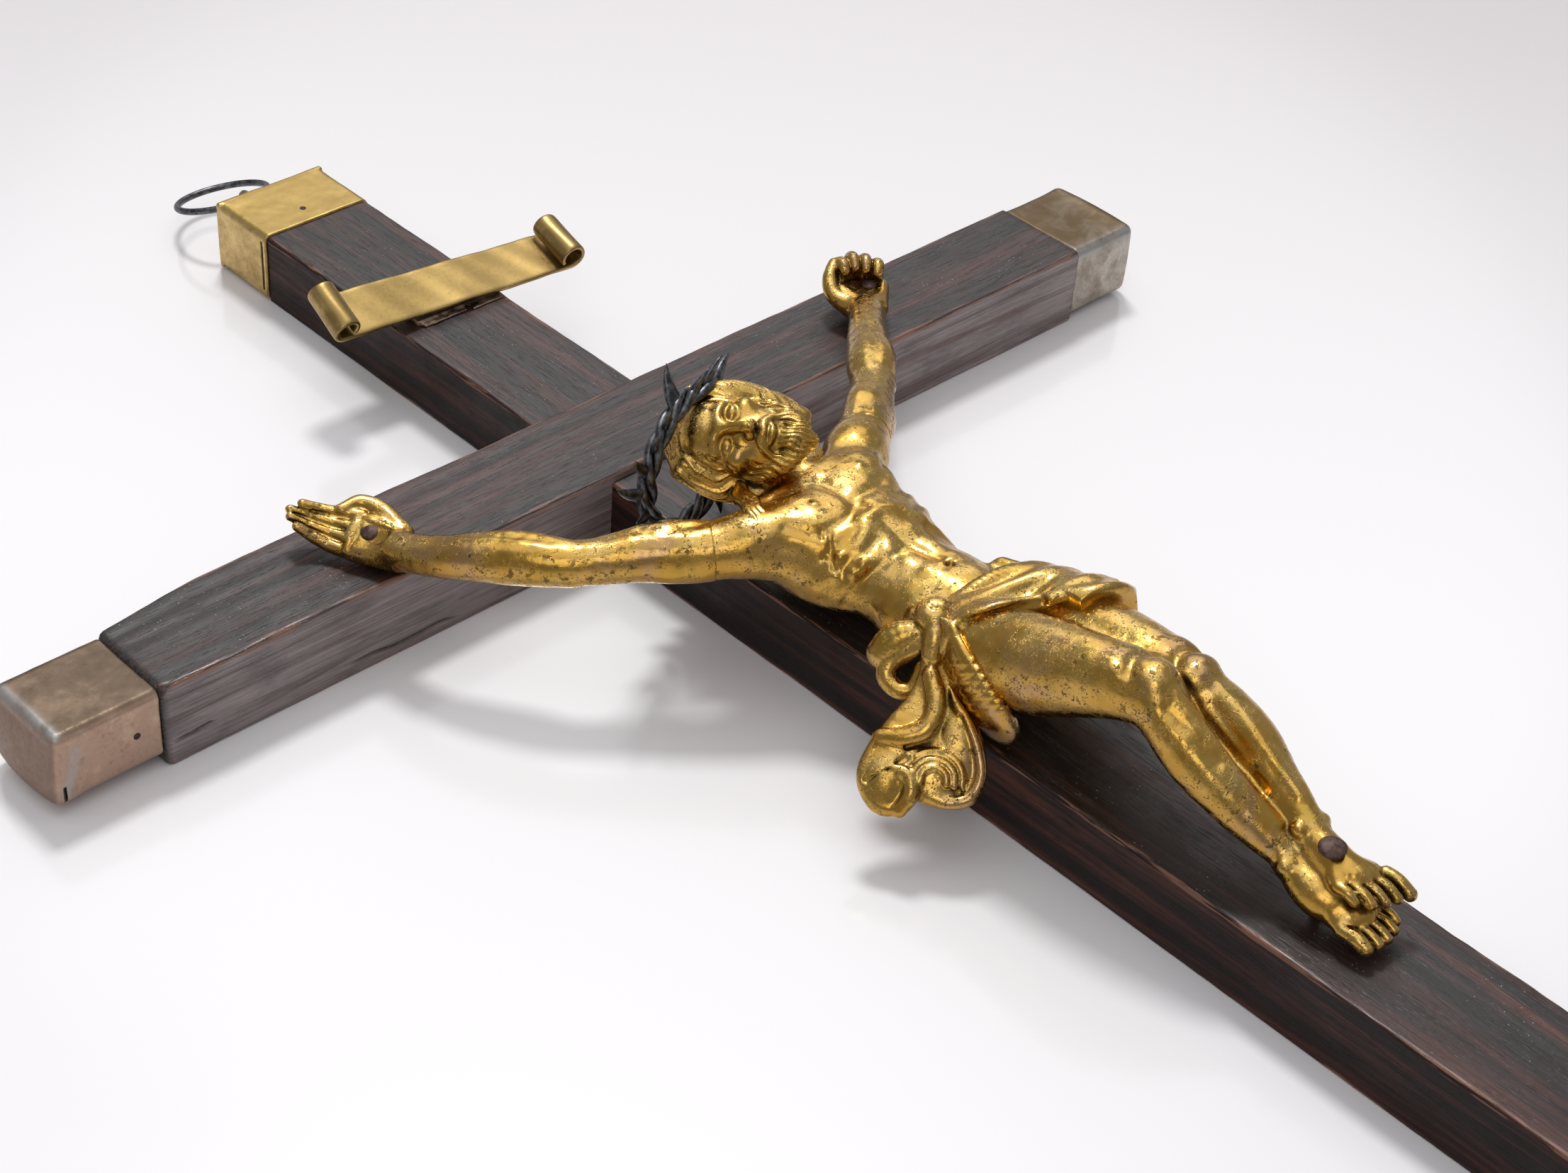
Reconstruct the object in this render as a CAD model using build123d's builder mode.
"""A wall crucifix: a dark hardwood cross with brass end caps, a title scroll, a hanging ring
and a gilt bronze figure held by three nails. Millimetres. The cross lies on its back:
X runs to the right along the bar, Y up the post, Z out of the front. The origin is the
middle of the crossing, on the back face."""
import math
import os

from build123d import *

os.makedirs("parts", exist_ok=True)

# Wooden cross
post_width = 26.0
post_thickness = 15.9
post_top = 119.9
post_foot = 350.0
bar_width = 23.0
bar_thickness = 17.6
bar_left = 136.0
bar_right = 139.0
arris_round = 0.7
shoulder_round = 0.4
left_shoulder_round = 1.6
left_taper = 2.7
left_taper_length = 23.0
joint_fit = 0.05

# Brass end caps, hollow over a wood tenon. Each steps in from the wood at its low side, high side,
# back and front; a minus means that it stands proud.
top_cap_length = 17.9
left_cap_length = 21.0
right_cap_length = 18.0
foot_cap_length = 17.9
top_cap_insets = (-0.7, -0.7, 0.3, -0.3)
left_cap_insets = (0.4, 2.8, 2.6, 0.3)
right_cap_insets = (0.1, 0.1, 1.2, 0.1)
foot_cap_insets = (-0.7, -0.7, 0.3, -0.3)
cap_wall = 1.0
cap_fit = 0.05
cap_edge_round = 2.4
cap_end_round = 2.2
cap_pin_diameter = 1.4
cap_pin_depth = 5.0
cap_pin_setback = 5.0
tenon_root = 3.0

# Hanging eye and ring
eye_wire = 1.6
eye_fit = 0.15
eye_side = -4.0
eye_height = 12.0
eye_reach = 2.8
eye_depth = 14.0
ring_wire = 1.5
ring_diameter = 20.4
ring_droop = 20.0

# Title scroll and the wedge under it
title_height = 54.0
title_offset = 2.6
title_span = 54.5
title_width = 11.3
title_sheet = 1.0
roll_diameter = 6.4
roll_gap = 1.6
title_slope = 15.0
title_turn = -4.0
wedge_length = 20.0
wedge_lip = 0.9
prong_diameter = 2.4
prong_depth = 7.0

# Nails and shoulder pegs
hand_nail_diameter = 1.8
hand_nail_head = 3.4
hand_nail_dome = 1.3
foot_nail_diameter = 2.6
foot_nail_head = 6.0
foot_nail_dome = 2.6
nail_depth = 9.0
palm_seat = 2.2
seat_clear = 6.0
nail_fit = 0.05
peg_diameter = 4.0
peg_depth = 6.0
arm_joint = 0.24

# Fingers, from the first to the little one
finger_diameter = 2.2
finger_lengths = (10.5, 12.0, 11.5, 9.5)
finger_pitch = 2.3
palm_length = 5.5
thumb_length = 9.0

# Loincloth knot with its loops and flying tail
knot_radius = 3.2
loop_radius = 3.2
loop_roll = 1.6
tail_thickness = 3.0

# Crown of thorns
crown_diameter = 27.6
strand_diameter = 2.2
strand_tilt = 8.0
strand_count = 3
thorn_count = 13
thorn_length = 5.0
thorn_base = 1.7
thorn_tip = 0.3

bar_front = bar_thickness
post_front = post_thickness


def on_bar(x, y, z):
    """A point of the figure, its height measured from the face of the bar."""
    return Vector(x, y, bar_front + z)


# Places of the figure's joints
right_shoulder = on_bar(-19, -58, 13.4)
right_elbow = on_bar(-46, -38, 10.4)
right_wrist = on_bar(-61, -16.5, 7.2)
right_palm = on_bar(-64.6, -2.8, 2.8)
left_shoulder = on_bar(15, -49, 13.4)
left_elbow = on_bar(36, -31.5, 10.9)
left_wrist = on_bar(56, -10.5, 7.4)
left_palm = on_bar(67, 0.6, 2.8)
right_hip = on_bar(-7, -104, 11.4)
right_knee = on_bar(-4.5, -138, 24.4)
right_ankle = on_bar(-1, -168.5, 5.4)
right_toes = on_bar(-2, -181.5, 1.2)
left_hip = on_bar(7, -104, 10.4)
left_knee = on_bar(5.3, -140.3, 20.8)
left_ankle = on_bar(2.2, -168, 10.2)
left_toes = on_bar(8, -180.5, 5.0)
foot_nail_place = on_bar(0.8, -171.8, 11.2)
neck = on_bar(-3, -50, 13.4)
head = on_bar(-7.4, -39.5, 20.4)
head_up = Vector(-0.64, 0.77, 0).normalized()
head_side = head_up.cross(Vector(-0.5, -0.35, 0.79)).normalized()
head_front = head_side.cross(head_up)
crown = head + head_up * 10.1 - head_front * 2.8 - head_side * 2.1
crown_normal = (head_up * 0.9 - head_front * 0.28 + head_side * 0.32).normalized()


def bead(start, end, radii):
    """A rounded form from start to end, turned about its axis, whose radius follows the list."""
    way = end - start
    along = way.normalized()
    side = along.cross(Vector(0.3, 0.2, 1)).normalized()
    step = way.length / (len(radii) - 1)
    profile = [(0, -radii[0] * 0.8)]
    profile += [(radius, index * step) for index, radius in enumerate(radii)]
    profile += [(0, way.length + radii[-1] * 0.8)]
    with BuildSketch(Plane(origin=start, x_dir=side, z_dir=side.cross(along))) as half:
        with BuildLine():
            Spline(profile, tangents=[(1, 0), (-1, 0)])
            Line(profile[-1], profile[0])
        make_face()
    revolve(half.sketch, axis=Axis(start, along))


def limb(joints, stations):
    """A limb lofted through round sections, each given as bone, share of the bone and radius."""
    points = [joints[bone] + (joints[bone + 1] - joints[bone]) * share for bone, share, _ in stations]
    rounds = []
    for index, (_, _, radius) in enumerate(stations):
        before = points[max(index - 1, 0)]
        after = points[min(index + 1, len(points) - 1)]
        with BuildSketch(Plane(origin=points[index], x_dir=(1, 0.2, 0), z_dir=after - before)) as section:
            Circle(radius)
        rounds.append(section.sketch)
    loft(rounds)


def oval_loft(sections):
    """A body lofted through upright ovals, each given as centre, half width and half depth."""
    ovals = []
    for centre, half_width, half_depth in sections:
        with BuildSketch(Plane(origin=centre, x_dir=(1, 0, 0), z_dir=(0, -1, 0))) as oval:
            Ellipse(half_width, half_depth)
        ovals.append(oval.sketch)
    loft(ovals)


def hand(wrist, palm, across, turn, spread, lift, curl):
    """A palm lofted from the wrist to the knuckles, with two-part fingers and a thumb."""
    level = Vector(palm.X - wrist.X, palm.Y - wrist.Y, 0).normalized()
    knuckles = palm + level * palm_length
    stations = [(wrist, 2.9, 2.8), ((wrist + palm) / 2, 4.2, 2.7), (palm, 4.8, 2.6), (knuckles, 4.5, 2.2)]
    ovals = []
    for centre, half_width, half_depth in stations:
        with BuildSketch(Plane(origin=centre, x_dir=across, z_dir=level)) as oval:
            Ellipse(half_width, half_depth)
        ovals.append(oval.sketch)
    loft(ovals)
    radius = finger_diameter / 2
    hinge = Axis((0, 0, 0), level.cross(Vector(0, 0, 1)))
    for index, length in enumerate(finger_lengths):
        root = knuckles + across * finger_pitch * (1.5 - index) - level * radius
        way = level.rotate(Axis.Z, turn + spread * (1.5 - index))
        middle = root + way.rotate(hinge, lift) * length / 2
        tip = middle + way.rotate(hinge, lift + curl) * length / 2
        bead(root, middle, [radius, radius * 0.96])
        bead(middle, tip, [radius * 0.9, radius * 0.8])
    thumb_root = wrist + (palm - wrist) * 0.6 + across * 3.4
    bead(thumb_root, thumb_root + (level + across * 0.25 + Vector(0, 0, 0.3)).normalized() * thumb_length,
         [radius * 1.3, radius * 1.15, radius * 0.9])


# Frames of the end caps: each plane lies at the wood shoulder, in the middle of the cap, facing outwards
post_top_shoulder = post_top - top_cap_length
post_foot_shoulder = post_foot - foot_cap_length
bar_left_shoulder = bar_left - left_cap_length
bar_right_shoulder = bar_right - right_cap_length
post_size = (post_width, post_thickness)
bar_size = (bar_width, bar_thickness)
along_x = Vector(1, 0, 0)
along_y = Vector(0, 1, 0)
front_pin = Vector(0, 0, 1)
near_pin = Vector(0, -1, 0)
cap_ends = {
    "top_end_cap": (along_y * post_top_shoulder, along_x, along_y, post_size, top_cap_insets,
                    top_cap_length, front_pin),
    "foot_end_cap": (along_y * -post_foot_shoulder, along_x, -along_y, post_size, foot_cap_insets,
                     foot_cap_length, front_pin),
    "left_end_cap": (along_x * -bar_left_shoulder, along_y, -along_x, bar_size, left_cap_insets,
                     left_cap_length, near_pin),
    "right_end_cap": (along_x * bar_right_shoulder, along_y, along_x, bar_size, right_cap_insets,
                      right_cap_length, near_pin),
}
caps = {}
for cap_name, (shoulder, across, outwards, wood_size, insets, cap_length, pin_side) in cap_ends.items():
    low, high, back, front = insets
    cap_width = wood_size[0] - low - high
    cap_thickness = wood_size[1] - back - front
    middle = shoulder + across * (low - high) / 2 + Vector(0, 0, (wood_size[1] + back - front) / 2)
    pin_reach = (cap_thickness if pin_side is front_pin else cap_width) / 2
    pin_plane = Plane(origin=middle + outwards * cap_pin_setback + pin_side * pin_reach, z_dir=pin_side)
    caps[cap_name] = (Plane(origin=middle, x_dir=across, z_dir=outwards), cap_width, cap_thickness,
                      cap_length, pin_plane)


def tenon(cap_name):
    """The wood inside a cap, bored for the cap's pin."""
    cap_plane, cap_width, cap_thickness, cap_length, pin_plane = caps[cap_name]
    play = cap_wall + cap_fit
    with BuildSketch(cap_plane.offset(-tenon_root)) as core:
        Rectangle(cap_width - 2 * play, cap_thickness - 2 * play)
    extrude(core.sketch, amount=tenon_root + cap_length - play)
    with BuildSketch(pin_plane) as bore:
        Circle(cap_pin_diameter / 2 + nail_fit)
    extrude(bore.sketch, amount=-cap_pin_depth, mode=Mode.SUBTRACT)


# Upright post: notched at the front for the bar, reduced to a tenon in each cap
lap = post_thickness / 2
eye_place = Vector(eye_side, post_top + eye_reach, eye_height)
with BuildPart() as upright_post:
    with BuildSketch(Plane.XZ.offset(post_foot_shoulder)):
        with Locations((0, post_thickness / 2)):
            RectangleRounded(post_width, post_thickness, arris_round)
    extrude(amount=-(post_foot_shoulder + post_top_shoulder))
    shoulders = upright_post.faces().filter_by(Axis.Y).edges()
    fillet(shoulders, shoulder_round)
    tenon("top_end_cap")
    tenon("foot_end_cap")
    with Locations((0, 0, lap)):
        Box(post_width, bar_width + 2 * joint_fit, post_thickness,
            align=(Align.CENTER, Align.CENTER, Align.MIN), mode=Mode.SUBTRACT)
    with Locations((foot_nail_place.X, foot_nail_place.Y, post_front - nail_depth)):
        Cylinder(foot_nail_diameter / 2 + nail_fit, nail_depth,
                 align=(Align.CENTER, Align.CENTER, Align.MIN), mode=Mode.SUBTRACT)
    with Locations((title_offset, title_height + title_width / 2, post_front - prong_depth)):
        Cylinder(prong_diameter / 2 + nail_fit, prong_depth,
                 align=(Align.CENTER, Align.CENTER, Align.MIN), mode=Mode.SUBTRACT)
    with Locations((eye_place.X, post_top - eye_depth, eye_place.Z)):
        Cylinder(eye_wire / 2 + nail_fit, eye_depth, rotation=(-90, 0, 0),
                 align=(Align.CENTER, Align.CENTER, Align.MIN), mode=Mode.SUBTRACT)
upright_post.part.label = "upright_post"
export_step(upright_post.part, "parts/upright_post.step")

# Crossbar: notched at the back over the post, narrowed at its left end, with the same tenons
with BuildPart() as crossbar:
    with BuildSketch(Plane.YZ.offset(-bar_left_shoulder)):
        with Locations((0, bar_thickness / 2)):
            RectangleRounded(bar_width, bar_thickness, arris_round)
    extrude(amount=bar_left_shoulder + bar_right_shoulder)
    bar_ends = crossbar.faces().filter_by(Axis.X).sort_by(Axis.X)
    fillet(bar_ends[0].edges(), left_shoulder_round)
    fillet(crossbar.faces().filter_by(Axis.X).sort_by(Axis.X)[-1].edges(), shoulder_round)
    with BuildSketch() as far_slice:
        with BuildLine():
            Polyline((left_taper_length - bar_left_shoulder, bar_width / 2),
                     (-bar_left_shoulder, bar_width / 2 - left_taper),
                     (-bar_left_shoulder, bar_width / 2), close=True)
        make_face()
    extrude(far_slice.sketch, amount=bar_thickness, mode=Mode.SUBTRACT)
    tenon("left_end_cap")
    tenon("right_end_cap")
    Box(post_width + 2 * joint_fit, bar_width, lap + joint_fit,
        align=(Align.CENTER, Align.CENTER, Align.MIN), mode=Mode.SUBTRACT)
    for palm in (right_palm, left_palm):
        with Locations((palm.X, palm.Y, bar_front - nail_depth)):
            Cylinder(hand_nail_diameter / 2 + nail_fit, nail_depth,
                     align=(Align.CENTER, Align.CENTER, Align.MIN), mode=Mode.SUBTRACT)
crossbar.part.label = "crossbar"
export_step(crossbar.part, "parts/crossbar.step")

# End caps: one folded shell for each end, drawn from the wood shoulder outwards
for cap_name, (cap_plane, cap_width, cap_thickness, cap_length, pin_plane) in caps.items():
    with BuildPart() as end_cap:
        with BuildSketch(cap_plane):
            RectangleRounded(cap_width, cap_thickness, cap_edge_round)
        extrude(amount=cap_length)
        end_face = end_cap.faces().sort_by(Axis(cap_plane.origin, cap_plane.z_dir))[-1]
        fillet(end_face.edges(), cap_end_round)
        with BuildSketch(cap_plane):
            Rectangle(cap_width - 2 * cap_wall, cap_thickness - 2 * cap_wall)
        extrude(amount=cap_length - cap_wall, mode=Mode.SUBTRACT)
        with BuildSketch(pin_plane):
            Circle(cap_pin_diameter / 2 + nail_fit)
        extrude(amount=-2 * cap_wall, mode=Mode.SUBTRACT)
        if cap_name == "top_end_cap":
            with Locations(eye_place):
                Cylinder(eye_wire / 2 + nail_fit, 4 * eye_reach, rotation=(-90, 0, 0), mode=Mode.SUBTRACT)
    end_cap.part.label = cap_name
    export_step(end_cap.part, f"parts/{cap_name}.step")

# Cap pins: four small headless pins, one through a face of each cap into its tenon
with BuildPart() as cap_pins:
    for _, _, _, _, pin_plane in caps.values():
        with BuildSketch(pin_plane):
            Circle(cap_pin_diameter / 2)
        extrude(amount=-cap_pin_depth)
cap_pins.part.label = "cap_pins"
export_step(cap_pins.part, "parts/cap_pins.step")

# Hanging eye: a wire loop on a shank driven through the top cap into the post
eye_radius = (ring_wire + eye_wire) / 2 + eye_fit
with BuildPart() as hanging_eye:
    with Locations(eye_place):
        Torus(eye_radius, eye_wire / 2, rotation=(0, 90, 0))
    with Locations((eye_place.X, post_top - eye_depth, eye_place.Z)):
        Cylinder(eye_wire / 2, eye_depth + eye_reach - eye_radius, rotation=(-90, 0, 0),
                 align=(Align.CENTER, Align.CENTER, Align.MIN))
hanging_eye.part.label = "hanging_eye"
export_step(hanging_eye.part, "parts/hanging_eye.step")

# Hanging ring: a wire ring through the eye, stiff enough to stay a little above the table
ring_plane = Plane(origin=eye_place, x_dir=(1, 0, 0), z_dir=(0, 0, 1)).rotated((-ring_droop, 0, 0))
with BuildPart() as hanging_ring:
    with Locations(ring_plane.offset(0) * Location((0, ring_diameter / 2, 0))):
        Torus(ring_diameter / 2, ring_wire / 2)
hanging_ring.part.label = "hanging_ring"
export_step(hanging_ring.part, "parts/hanging_ring.step")

# Title scroll: a strip with both ends rolled forward into open tubes, sloped on its wedge
title_plane = Plane(
    origin=(title_offset, title_height, post_front + wedge_lip), x_dir=(1, 0, 0), z_dir=(0, 0, 1)
).rotated((title_slope, 0, title_turn))
roll_radius = roll_diameter / 2
with BuildPart() as title_scroll:
    strip_plane = Plane(origin=title_plane.origin, x_dir=title_plane.x_dir, z_dir=-title_plane.y_dir)
    with BuildSketch(strip_plane):
        with Locations((0, title_sheet / 2)):
            Rectangle(title_span, title_sheet)
        with Locations((-title_span / 2, roll_radius), (title_span / 2, roll_radius)):
            Circle(roll_radius)
            Circle(roll_radius - title_sheet, mode=Mode.SUBTRACT)
        for inward in (-1, 1):
            with Locations((inward * (title_span / 2 - roll_radius), roll_radius + roll_gap / 2)):
                Rectangle(2.2 * title_sheet, roll_gap, mode=Mode.SUBTRACT)
    extrude(amount=-title_width)
title_scroll.part.label = "title_scroll"
export_step(title_scroll.part, "parts/title_scroll.step")

# Title bracket: a wedge between post and strip with a prong driven into the post
with BuildPart() as title_bracket:
    with BuildSketch(title_plane):
        with Locations((0, title_width / 2)):
            Rectangle(wedge_length, title_width)
    extrude(amount=-title_width)
    split(bisect_by=Plane.XY.offset(post_front), keep=Keep.TOP)
    with Locations((title_offset, title_height + title_width / 2, post_front - prong_depth)):
        Cylinder(prong_diameter / 2, prong_depth + wedge_lip,
                 align=(Align.CENTER, Align.CENTER, Align.MIN))
title_bracket.part.label = "title_bracket"
export_step(title_bracket.part, "parts/title_bracket.step")

# Figure body: torso, head with hair and beard, legs, feet and wrapped loincloth in one casting
with BuildPart() as corpus_body:
    oval_loft([
        (on_bar(-3.5, -45, 13.6), 8.0, 5.5),
        (on_bar(-3.0, -51, 13.2), 15.5, 8.5),
        (on_bar(-2.0, -61, 12.6), 17.0, 11.3),
        (on_bar(-1.5, -72, 12.0), 15.6, 10.8),
        (on_bar(-1.0, -83, 10.4), 12.4, 8.8),
        (on_bar(-0.5, -92, 9.9), 13.6, 9.6),
        (on_bar(0.0, -102, 10.2), 15.6, 10.8),
        (on_bar(0.0, -112, 11.4), 14.0, 9.4),
    ])
    bead(neck, head - head_up * 4, [6.0, 5.6, 5.6])
    bead(head - head_up * 2.6, head + head_up * 3.6, [9.0, 9.8, 9.4])
    bead(head - head_up * 4 + head_front * 1.5, head - head_up * 11.5 + head_front * 3.5, [6.6, 5.4, 3.0])
    bead(head - head_up * 2 - head_side * 6, on_bar(-10.5, -53.5, 18.2), [4.2, 4.0, 2.6])
    leg_stations = [(0, 0.0, 8.4), (0, 0.45, 7.8), (0, 0.85, 5.5), (1, 0.08, 4.9), (1, 0.35, 6.0),
                    (1, 0.7, 4.3), (1, 1.0, 3.0)]
    limb([right_hip, right_knee, right_ankle], leg_stations)
    limb([left_hip, left_knee, left_ankle], leg_stations)
    bead(left_hip, left_hip + (left_knee - left_hip) * 0.6, [9.2, 9.4, 8.2])
    bead(on_bar(-11.5, -97, 11.5), on_bar(-10.5, -109.5, 5.4), [3.6, 4.2, 4.6])
    for ankle, toes in ((right_ankle, right_toes), (left_ankle, left_toes)):
        way = toes - ankle
        across = way.cross(Vector(0, 0, 1)).normalized()
        oval_loft([
            (ankle + Vector(0, 2.6, -2.4), 2.0, 1.8),
            (ankle + Vector(0, 0.2, -1.4), 3.6, 3.9),
            (ankle + way * 0.4, 4.0, 3.7),
            (ankle + way * 0.8, 4.3, 2.8),
            (ankle + way * 1.04, 4.0, 1.8),
        ])
        for toe in range(5):
            root = toes + across * (3.0 - 1.5 * toe)
            bead(root, root + way.normalized() * (3.4 - 0.4 * toe), [1.15, 1.0])
    bead(head - head_up * 1.5 - head_front * 3.2, head + head_up * 3 - head_front * 3.6, [9.6, 9.8, 9.2])
    for shoulder, elbow in ((right_shoulder, right_elbow), (left_shoulder, left_elbow)):
        limb([shoulder, elbow], [(0, -0.2, 4.4), (0, 0.05, 5.3), (0, arm_joint, 5.1)])
        arm_way = elbow - shoulder
        with BuildSketch(Plane(origin=shoulder + arm_way * arm_joint, z_dir=-arm_way)) as socket:
            Circle(peg_diameter / 2 + nail_fit)
        extrude(socket.sketch, amount=peg_depth, mode=Mode.SUBTRACT)
    with Locations((foot_nail_place.X, foot_nail_place.Y, 0)):
        Cylinder(foot_nail_diameter / 2 + nail_fit, foot_nail_place.Z,
                 align=(Align.CENTER, Align.CENTER, Align.MIN), mode=Mode.SUBTRACT)
    with Locations(foot_nail_place):
        Cylinder(foot_nail_head / 2 + nail_fit, seat_clear,
                 align=(Align.CENTER, Align.CENTER, Align.MIN), mode=Mode.SUBTRACT)
corpus_body.part.label = "corpus_body"
export_step(corpus_body.part, "parts/corpus_body.step")

# Arms: each its own casting, pegged flat against the shoulder and nailed through the palm
right_across = Vector(0.95, 0.3, 0).normalized()
left_across = Vector(-0.7, 0.71, 0).normalized()
arms = {
    "corpus_right_arm": (right_shoulder, right_elbow, right_wrist, right_palm, right_across,
                         24.0, -6.0, 10.0, 12.0),
    "corpus_left_arm": (left_shoulder, left_elbow, left_wrist, left_palm, left_across,
                        0.0, 3.0, 50.0, 80.0),
}
for arm_name, (shoulder, elbow, wrist, palm, across, turn, spread, lift, curl) in arms.items():
    with BuildPart() as arm:
        limb([shoulder, elbow, wrist], [
            (0, arm_joint, 5.1), (0, 0.55, 5.0), (0, 0.9, 4.3), (1, 0.08, 4.4), (1, 0.3, 4.8),
            (1, 0.7, 3.8), (1, 1.02, 3.1),
        ])
        hand(wrist, palm, across, turn, spread, lift, curl)
        arm_way = elbow - shoulder
        with BuildSketch(Plane(origin=shoulder + arm_way * arm_joint, z_dir=-arm_way)) as peg:
            Circle(peg_diameter / 2)
        extrude(peg.sketch, amount=peg_depth - nail_fit)
        with Locations((palm.X, palm.Y, bar_front)):
            Cylinder(hand_nail_diameter / 2 + nail_fit, bar_front,
                     align=(Align.CENTER, Align.CENTER, Align.MIN), mode=Mode.SUBTRACT)
        with Locations((palm.X, palm.Y, palm.Z + palm_seat)):
            Cylinder(hand_nail_head / 2 + nail_fit, seat_clear,
                     align=(Align.CENTER, Align.CENTER, Align.MIN), mode=Mode.SUBTRACT)
    arm.part.label = arm_name
    export_step(arm.part, f"parts/{arm_name}.step")

# Loincloth knot: a knot with two loops above it and a flaring tail, soldered to the wrap
tail_across = Vector(0.69, -0.72, 0).normalized()
tail_route = [on_bar(-13, -95.5, 15.6), on_bar(-19, -101, 9.6), on_bar(-24, -105.5, 2.8),
              on_bar(-26.5, -108, -1.0)]
tail_half_widths = (3.0, 4.6, 8.6, 10.6)
with BuildPart() as loincloth_knot:
    bead(on_bar(-12, -94.5, 15.4), on_bar(-14, -93.5, 14.4), [knot_radius, knot_radius * 0.9])
    with Locations(Plane(origin=on_bar(-15.5, -89.5, 8.6), z_dir=(-0.8, 0.2, 0.5))):
        Torus(loop_radius, loop_roll)
    with Locations(Plane(origin=on_bar(-15.0, -91.5, 10.4), z_dir=(-0.3, -0.2, 0.9))):
        Torus(loop_radius, loop_roll)
    folds = []
    for index, half_width in enumerate(tail_half_widths):
        before = tail_route[max(index - 1, 0)]
        after = tail_route[min(index + 1, len(tail_route) - 1)]
        with BuildSketch(Plane(origin=tail_route[index], x_dir=tail_across, z_dir=after - before)) as fold:
            Ellipse(half_width, tail_thickness / 2)
        folds.append(fold.sketch)
    loft(folds)
    add(corpus_body.part, mode=Mode.SUBTRACT)
loincloth_knot.part.label = "loincloth_knot"
export_step(loincloth_knot.part, "parts/loincloth_knot.step")

# Crown of thorns: three interlaced strands with thorns, pushed back over the hair
crown_plane = Plane(origin=crown, x_dir=head_side, z_dir=crown_normal)
with BuildPart() as crown_of_thorns:
    for strand in range(strand_count):
        turn = 360 / strand_count * strand
        hinge = Axis((0, 0, 0), crown_plane.x_dir.rotate(Axis((0, 0, 0), crown_normal), turn))
        with Locations(Plane(origin=crown, z_dir=crown_normal.rotate(hinge, strand_tilt))):
            Torus(crown_diameter / 2, strand_diameter / 2)
    for thorn in range(thorn_count):
        outward = crown_plane.x_dir.rotate(Axis((0, 0, 0), crown_normal), 360 / thorn_count * thorn)
        forward = crown_normal.cross(outward)
        lean = crown_normal * (0.8 if thorn % 2 else -0.3)
        thorn_root = crown + outward * crown_diameter / 2
        with Locations(Plane(origin=thorn_root, z_dir=outward + lean + forward * 0.5)):
            Cone(thorn_base / 2, thorn_tip / 2, thorn_length, align=(Align.CENTER, Align.CENTER, Align.MIN))
    add(corpus_body.part, mode=Mode.SUBTRACT)
crown_of_thorns.part.label = "crown_of_thorns"
export_step(crown_of_thorns.part, "parts/crown_of_thorns.step")

# Nails: a round shank and a domed head for each hand and for both feet
nails = {
    "right_hand_nail": (right_palm.X, right_palm.Y, right_palm.Z + palm_seat, bar_front,
                        hand_nail_diameter, hand_nail_head, hand_nail_dome),
    "left_hand_nail": (left_palm.X, left_palm.Y, left_palm.Z + palm_seat, bar_front,
                       hand_nail_diameter, hand_nail_head, hand_nail_dome),
    "foot_nail": (foot_nail_place.X, foot_nail_place.Y, foot_nail_place.Z, post_front,
                  foot_nail_diameter, foot_nail_head, foot_nail_dome),
}
for nail_name, (x, y, head_seat, wood_face, diameter, head_diameter, dome) in nails.items():
    shank_end = wood_face - nail_depth - head_seat
    dome_radius = (head_diameter ** 2 / 4 + dome ** 2) / (2 * dome)
    dome_middle = math.acos(1 - dome / dome_radius) / 2
    dome_point = (dome_radius * math.sin(dome_middle), dome - dome_radius * (1 - math.cos(dome_middle)))
    with BuildPart() as nail:
        with BuildSketch(Plane((x, y, head_seat), x_dir=(1, 0, 0), z_dir=(0, -1, 0))):
            with BuildLine():
                Polyline((0, dome), (0, shank_end), (diameter / 2, shank_end), (diameter / 2, 0),
                         (head_diameter / 2, 0))
                ThreePointArc((head_diameter / 2, 0), dome_point, (0, dome))
            make_face()
        revolve(axis=Axis((x, y, head_seat), (0, 0, 1)))
    nail.part.label = nail_name
    export_step(nail.part, f"parts/{nail_name}.step")
